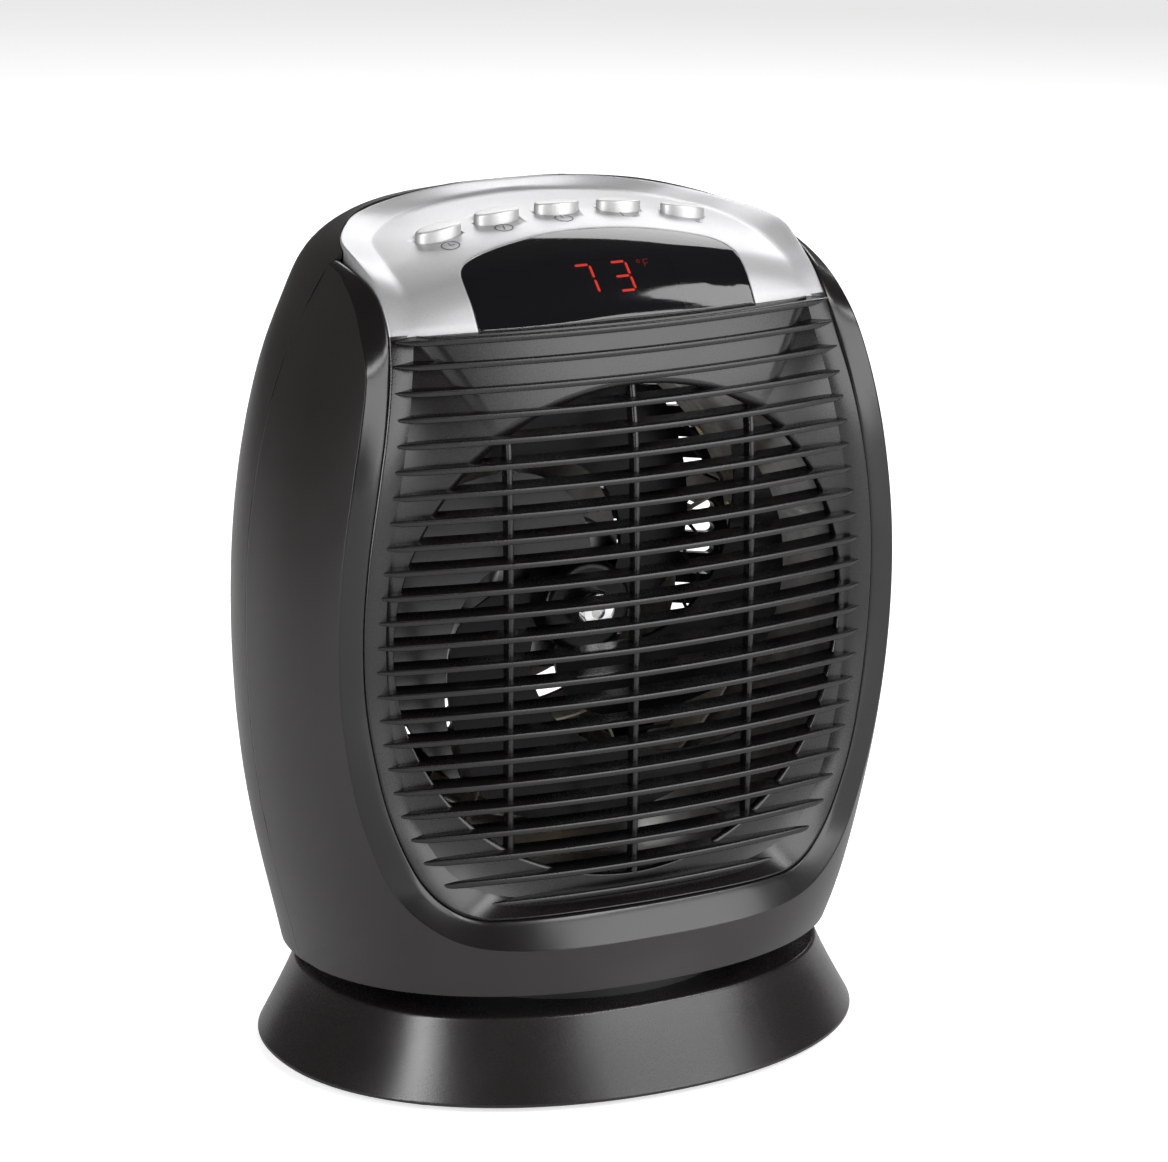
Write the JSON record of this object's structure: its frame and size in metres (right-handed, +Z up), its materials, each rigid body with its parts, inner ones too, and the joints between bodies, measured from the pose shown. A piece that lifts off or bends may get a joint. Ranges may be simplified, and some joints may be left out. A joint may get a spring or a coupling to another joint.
{
  "type": "oscillating fan heater",
  "caption": "Upright tabletop fan heater with a louvred front grille, a lit temperature display, push buttons on a crowned top panel and a turning base.",
  "frame": {"origin": "bottom centre of the base, where its feet stand", "axes": "+Z up, front faces -Y, +X to the viewer's right from the front"},
  "size_m": [0.222, 0.1668, 0.2815],
  "materials": {
    "shell_plastic": "satin",
    "dark_plastic": "matte",
    "grille_plastic": "satin",
    "panel_silver": "satin silver",
    "smoked_window": "gloss",
    "display_black": "gloss",
    "lit_digits": "lit",
    "circuit_board": "satin",
    "duct_plate": "satin",
    "motor_steel": "satin",
    "mica": "matte",
    "heating_wire": "oxidised",
    "brass": "satin",
    "fan_plastic": "gloss",
    "chrome": "polished",
    "steel": "satin",
    "white_plastic": "matte",
    "rubber": "matte"
  },
  "bodies": {
    "base": {"base_shell": "shell_plastic", "base_plate": "dark_plastic", "rubber_feet": "rubber", "base_screws": "steel", "cord_gland": "dark_plastic", "swivel_post": "dark_plastic", "retaining_ring": "steel", "bearing_collar": "dark_plastic", "link_pin": "steel", "tip_switch": "dark_plastic"},
    "heater": {"body_floor": "dark_plastic", "floor_screws": "steel", "front_housing": "shell_plastic", "rear_housing": "shell_plastic", "front_grille": "grille_plastic", "control_panel": "panel_silver", "display_window": "smoked_window", "display_frame": "dark_plastic", "display_module": "display_black", "display_digits": "lit_digits", "control_board": "circuit_board", "board_screws": "steel", "button_switches": "dark_plastic", "air_duct": "duct_plate", "fan_motor": "motor_steel", "motor_bracket": "duct_plate", "motor_screws": "steel", "mica_frame": "mica", "heating_wire_outer": "heating_wire", "heating_wire_inner": "heating_wire", "element_terminals": "brass", "element_eyelets": "brass", "thermal_cutout": "motor_steel", "thermal_fuse": "motor_steel", "room_sensor": "dark_plastic", "power_board": "circuit_board", "board_relays": "dark_plastic", "board_capacitor": "dark_plastic", "swing_motor": "motor_steel"},
    "fan": {"fan_impeller": "fan_plastic", "fan_nut": "chrome", "motor_shaft": "steel"},
    "drive_crank": {"drive_crank": "white_plastic"},
    "drive_link": {"drive_link": "steel"},
    "tip_plunger": {"tip_plunger": "white_plastic"},
    "timer_button": {"timer_button": "panel_silver"},
    "swing_button": {"swing_button": "panel_silver"},
    "power_button": {"power_button": "panel_silver"},
    "cooler_button": {"cooler_button": "panel_silver"},
    "warmer_button": {"warmer_button": "panel_silver"}
  },
  "joints": [
    {"name": "body_swing", "type": "hinge", "parent": "base", "child": "heater", "pos_m": [0, 0, 0.04], "axis": [0, 0, 1], "range_deg": [-33, 33]},
    {"name": "fan_spin", "type": "hinge", "parent": "heater", "child": "fan", "pos_m": [0, 0, 0.1497], "axis": [0, 1, 0], "continuous": true},
    {"name": "crank_spin", "type": "hinge", "parent": "heater", "child": "drive_crank", "pos_m": [0, 0.04, 0.034], "axis": [0, 0, 1], "continuous": true},
    {"name": "link_swing", "type": "hinge", "parent": "base", "child": "drive_link", "pos_m": [-0.0182, 0.0083, 0.0303], "axis": [0, 0, 1], "range_deg": [-14.5, 59.5]},
    {"name": "tip_plunger_slide", "type": "slide", "parent": "base", "child": "tip_plunger", "axis": [0, 0, 1], "range_m": [-0.003, 0], "stiffness_N_per_m": 60, "springref_m": -0.003},
    {"name": "timer_button_press", "type": "slide", "parent": "heater", "child": "timer_button", "axis": [0, 0, -1], "range_m": [0, 0.0012], "stiffness_N_per_m": 300, "springref_m": -0.001},
    {"name": "swing_button_press", "type": "slide", "parent": "heater", "child": "swing_button", "axis": [0, 0, -1], "range_m": [0, 0.0012], "stiffness_N_per_m": 300, "springref_m": -0.001},
    {"name": "power_button_press", "type": "slide", "parent": "heater", "child": "power_button", "axis": [0, 0, -1], "range_m": [0, 0.0012], "stiffness_N_per_m": 300, "springref_m": -0.001},
    {"name": "cooler_button_press", "type": "slide", "parent": "heater", "child": "cooler_button", "axis": [0, 0, -1], "range_m": [0, 0.0012], "stiffness_N_per_m": 300, "springref_m": -0.001},
    {"name": "warmer_button_press", "type": "slide", "parent": "heater", "child": "warmer_button", "axis": [0, 0, -1], "range_m": [0, 0.0012], "stiffness_N_per_m": 300, "springref_m": -0.001}
  ]
}
